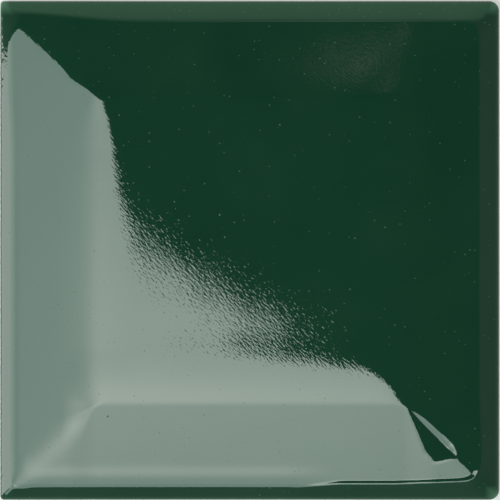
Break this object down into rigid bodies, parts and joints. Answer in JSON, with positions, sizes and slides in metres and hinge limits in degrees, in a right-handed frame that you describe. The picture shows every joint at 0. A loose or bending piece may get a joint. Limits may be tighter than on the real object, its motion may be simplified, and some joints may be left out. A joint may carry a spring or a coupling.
{
  "type": "bevelled ceramic wall tile",
  "caption": "Square glazed ceramic wall tile with a raised flat field, mitred bevels, a sloping border and a back of shallow square hollows that key into the adhesive.",
  "frame": {"origin": "middle of the back, on the plane of its ribs", "axes": "+Z out of the glazed face, X and Y along the tile's sides"},
  "size_m": [0.1, 0.1, 0.008],
  "materials": {
    "green_glaze": "gloss"
  },
  "bodies": {
    "root": {"bevelled_tile": "green_glaze"}
  },
  "joints": []
}
